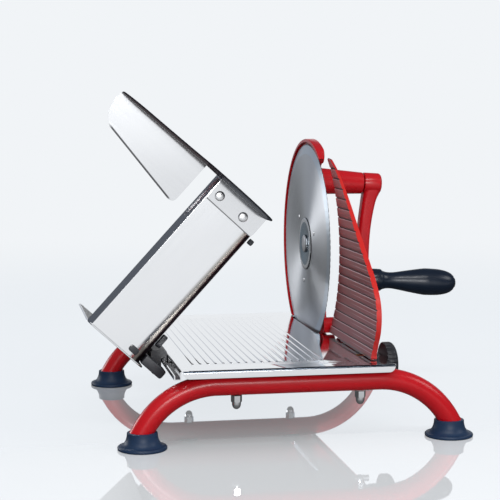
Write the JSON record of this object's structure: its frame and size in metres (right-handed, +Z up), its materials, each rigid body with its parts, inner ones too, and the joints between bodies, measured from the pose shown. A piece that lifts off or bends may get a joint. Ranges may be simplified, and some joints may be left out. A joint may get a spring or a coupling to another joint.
{
  "type": "manual food slicer",
  "caption": "Hand-cranked food slicer: geared round blade, ribbed stop plate set by a knob, and a tilting carriage that slides along a ribbed steel plate on a tube stand.",
  "frame": {"origin": "under the middle of the bounding box, on the table plane that the feet stand on", "axes": "+X from the carriage side to the crank side, along the blade axle; +Y away from the user, along the carriage's travel; +Z up"},
  "size_m": [0.3712, 0.3242, 0.2874],
  "materials": {
    "red_powder_coat": "gloss red powder coat",
    "polished_stainless": "polished stainless sheet",
    "turned_steel": "turned steel",
    "black_plastic": "satin black",
    "navy_rubber": "dark blue-black rubber",
    "sintered_bronze": "sintered bronze",
    "chrome": "bright plated",
    "gear_nylon": "natural nylon",
    "black_handle": "polished black",
    "ground_blade_steel": "circularly ground steel"
  },
  "bodies": {
    "stand": {"base_plate": "polished_stainless", "blade_axle": "turned_steel", "foot_front_left": "navy_rubber", "foot_front_right": "navy_rubber", "foot_rear_left": "navy_rubber", "foot_rear_right": "navy_rubber", "front_bow": "red_powder_coat", "front_left_nut": "chrome", "front_left_saddle": "black_plastic", "front_right_nut": "chrome", "front_right_saddle": "black_plastic", "gear_housing": "red_powder_coat", "guide_rod": "polished_stainless", "housing_screw_1": "chrome", "housing_screw_2": "chrome", "inner_bush": "sintered_bronze", "outer_bush": "sintered_bronze", "rear_bow": "red_powder_coat", "rear_left_nut": "chrome", "rear_left_saddle": "black_plastic", "rear_right_nut": "chrome", "rear_right_saddle": "black_plastic", "screw_bracket": "polished_stainless"},
    "blade_set": {"blade": "ground_blade_steel", "blade_gear": "gear_nylon", "blade_rivet_1": "ground_blade_steel", "blade_rivet_2": "ground_blade_steel", "blade_rivet_3": "ground_blade_steel"},
    "crank": {"pinion": "turned_steel", "crank_axle": "turned_steel", "crank_arm": "red_powder_coat", "handle_spindle": "chrome", "handle_washer": "polished_stainless"},
    "handle": {"handle_grip": "black_handle"},
    "stop": {"stop_plate": "red_powder_coat", "follower_nut": "sintered_bronze", "slide_arm": "red_powder_coat"},
    "knob": {"thickness_knob": "black_plastic", "setting_screw": "turned_steel"},
    "slider": {"carriage_slider": "black_plastic"},
    "carriage": {"carriage_tray": "polished_stainless", "finger_guard": "polished_stainless", "guard_rivet_1": "polished_stainless", "guard_rivet_2": "polished_stainless", "glider_pad": "black_plastic", "glider_peg": "black_plastic", "near_hinge_block": "black_plastic", "far_hinge_block": "black_plastic", "hinge_pin": "turned_steel", "wall_clip": "black_plastic"}
  },
  "joints": [
    {"name": "blade_turn", "type": "hinge", "parent": "stand", "child": "blade_set", "pos_m": [0.03551, 0.06211, 0.1433], "axis": [1, 0, 0], "continuous": true},
    {"name": "crank_turn", "type": "hinge", "parent": "stand", "child": "crank", "pos_m": [0.04061, 0.06211, 0.2036], "axis": [0.9982, 0, -0.0593], "continuous": true},
    {"name": "handle_turn", "type": "hinge", "parent": "crank", "child": "handle", "pos_m": [0.03509, 0.06211, 0.11076], "axis": [0.9982, 0, -0.0593], "continuous": true},
    {"name": "thickness_slide", "type": "slide", "parent": "stand", "child": "stop", "axis": [1, 0, 0], "range_m": [-0.007, 0.008]},
    {"name": "knob_turn", "type": "hinge", "parent": "stand", "child": "knob", "pos_m": [0.03551, -0.10989, 0.0574], "axis": [1, 0, 0], "range_deg": [-141, 161]},
    {"name": "carriage_travel", "type": "slide", "parent": "stand", "child": "slider", "axis": [0, 1, 0], "range_m": [-0.035, 0.15]},
    {"name": "carriage_tilt", "type": "hinge", "parent": "slider", "child": "carriage", "pos_m": [-0.12599, 0.06211, 0.0533], "axis": [0, -1, 0], "range_deg": [-47.5, 42.5]}
  ],
  "couplings": [
    {"joint": "crank_turn", "follows": "blade_turn", "ratio": -3},
    {"joint": "knob_turn", "follows": "thickness_slide", "rad_per_m": 349.06}
  ]
}
